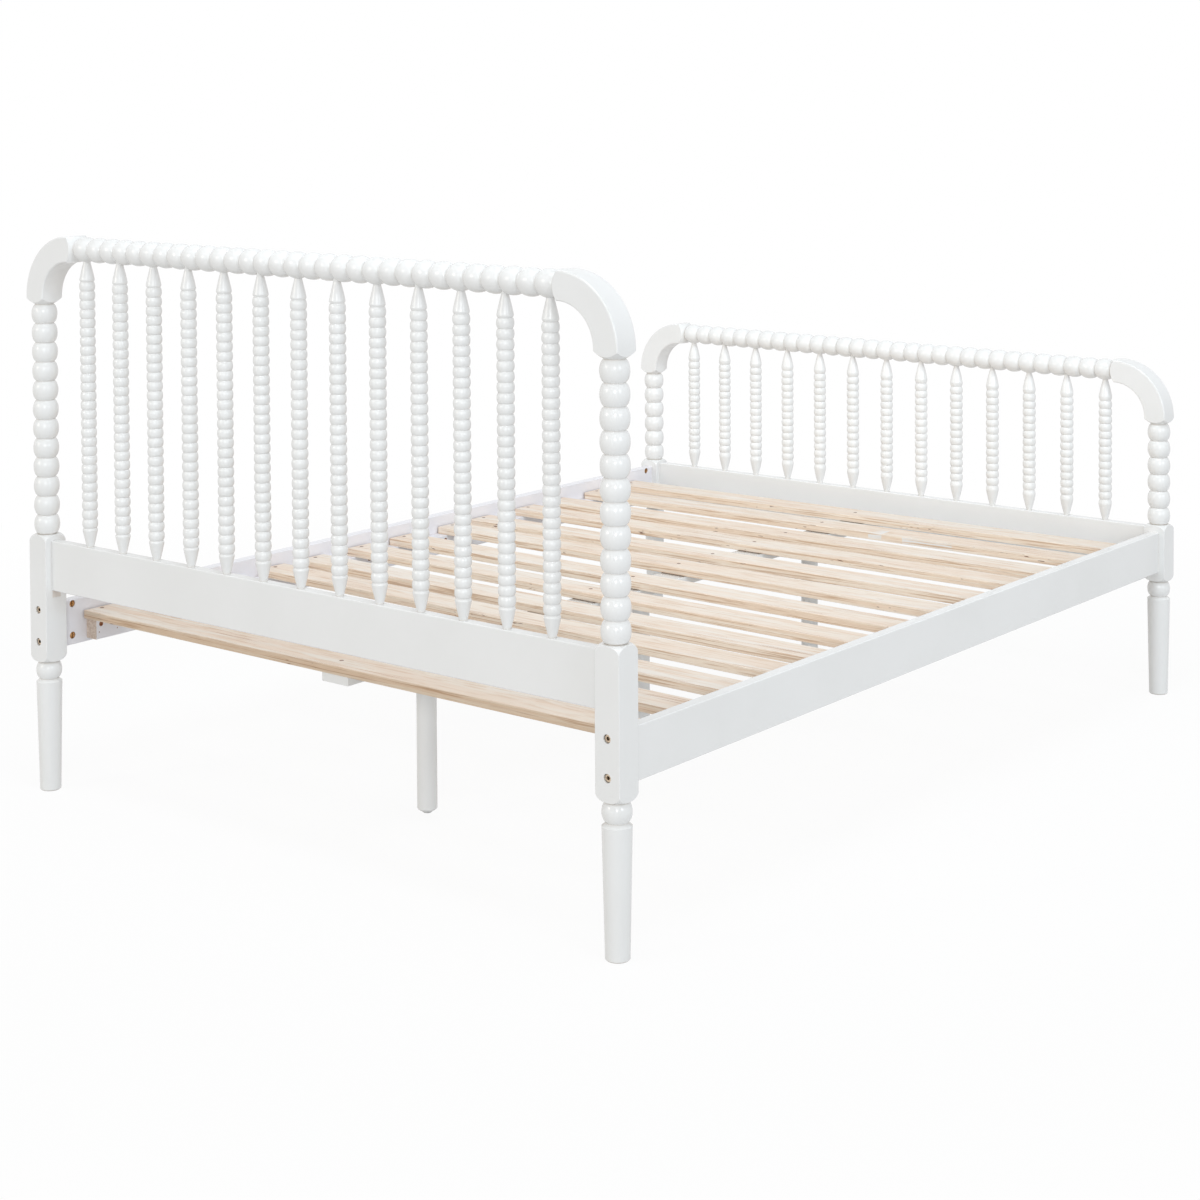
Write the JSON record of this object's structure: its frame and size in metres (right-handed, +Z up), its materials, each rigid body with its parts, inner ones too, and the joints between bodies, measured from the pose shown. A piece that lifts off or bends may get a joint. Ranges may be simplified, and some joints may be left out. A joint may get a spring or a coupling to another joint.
{
  "type": "turned bed frame",
  "caption": "Full-size painted bed frame with turned posts, spindles and top rails, curved elbows, screwed laminated slats and a centre beam on levelling feet.",
  "frame": {"origin": "on the floor, at the middle of the bed", "axes": "+X towards the sleeper's left, +Y from foot to head, +Z up"},
  "size_m": [1.474, 2.02, 1.0969],
  "materials": {
    "white_paint": "satin white paint on wood",
    "laminated_slat": "raw laminated veneer",
    "bronzed_steel": "dull bronze-toned plating",
    "pale_plastic": "moulded, matte",
    "dowel_wood": "raw, fluted"
  },
  "bodies": {
    "bed": {"barrel_nuts": "bronzed_steel", "centre_beam": "white_paint", "centre_leg_1": "white_paint", "centre_leg_2": "white_paint", "centre_leg_3": "white_paint", "foot_elbow_left": "white_paint", "foot_elbow_right": "white_paint", "foot_lower_rail": "white_paint", "foot_post_left": "white_paint", "foot_post_right": "white_paint", "foot_spindles": "white_paint", "foot_top_rail": "white_paint", "frame_dowels": "dowel_wood", "head_elbow_left": "white_paint", "head_elbow_right": "white_paint", "head_lower_rail": "white_paint", "head_post_left": "white_paint", "head_post_right": "white_paint", "head_spindle_01": "white_paint", "head_spindle_02": "white_paint", "head_spindle_03": "white_paint", "head_spindle_04": "white_paint", "head_spindle_05": "white_paint", "head_spindle_06": "white_paint", "head_spindle_07": "white_paint", "head_spindle_08": "white_paint", "head_spindle_09": "white_paint", "head_spindle_10": "white_paint", "head_spindle_11": "white_paint", "head_spindle_12": "white_paint", "head_spindle_13": "white_paint", "head_top_rail": "white_paint", "ledger_fixings": "bronzed_steel", "ledger_left": "white_paint", "ledger_right": "white_paint", "leg_bolts": "bronzed_steel", "rail_bolts": "bronzed_steel", "side_rail_left": "white_paint", "side_rail_right": "white_paint", "slat_01": "laminated_slat", "slat_02": "laminated_slat", "slat_03": "laminated_slat", "slat_04": "laminated_slat", "slat_05": "laminated_slat", "slat_06": "laminated_slat", "slat_07": "laminated_slat", "slat_08": "laminated_slat", "slat_09": "laminated_slat", "slat_10": "laminated_slat", "slat_11": "laminated_slat", "slat_12": "laminated_slat", "slat_13": "laminated_slat", "slat_screws": "bronzed_steel", "threaded_inserts": "bronzed_steel"},
    "foot_pad_1": {"foot_pad_1": "pale_plastic"},
    "foot_stud_1": {"foot_stud_1": "bronzed_steel"},
    "foot_pad_2": {"foot_pad_2": "pale_plastic"},
    "foot_stud_2": {"foot_stud_2": "bronzed_steel"},
    "foot_pad_3": {"foot_pad_3": "pale_plastic"},
    "foot_stud_3": {"foot_stud_3": "bronzed_steel"}
  },
  "joints": [
    {"name": "foot_travel_1", "type": "slide", "parent": "bed", "child": "foot_pad_1", "axis": [0, 0, 1], "range_m": [-0.01501, 0.00001]},
    {"name": "foot_turn_1", "type": "hinge", "parent": "foot_pad_1", "child": "foot_stud_1", "pos_m": [0, 0.662, 0.0145], "axis": [0, 0, 1], "range_deg": [-4320, 0]},
    {"name": "foot_travel_2", "type": "slide", "parent": "bed", "child": "foot_pad_2", "axis": [0, 0, 1], "range_m": [-0.01501, 0.00001]},
    {"name": "foot_turn_2", "type": "hinge", "parent": "foot_pad_2", "child": "foot_stud_2", "pos_m": [0, 0, 0.0145], "axis": [0, 0, 1], "range_deg": [-4320, 0]},
    {"name": "foot_travel_3", "type": "slide", "parent": "bed", "child": "foot_pad_3", "axis": [0, 0, 1], "range_m": [-0.01501, 0.00001]},
    {"name": "foot_turn_3", "type": "hinge", "parent": "foot_pad_3", "child": "foot_stud_3", "pos_m": [0, -0.644, 0.0145], "axis": [0, 0, 1], "range_deg": [-4320, 0]}
  ],
  "couplings": [
    {"joint": "foot_travel_1", "follows": "foot_turn_1", "m_per_rad": 0.00019894},
    {"joint": "foot_travel_2", "follows": "foot_turn_2", "m_per_rad": 0.00019894},
    {"joint": "foot_travel_3", "follows": "foot_turn_3", "m_per_rad": 0.00019894}
  ]
}
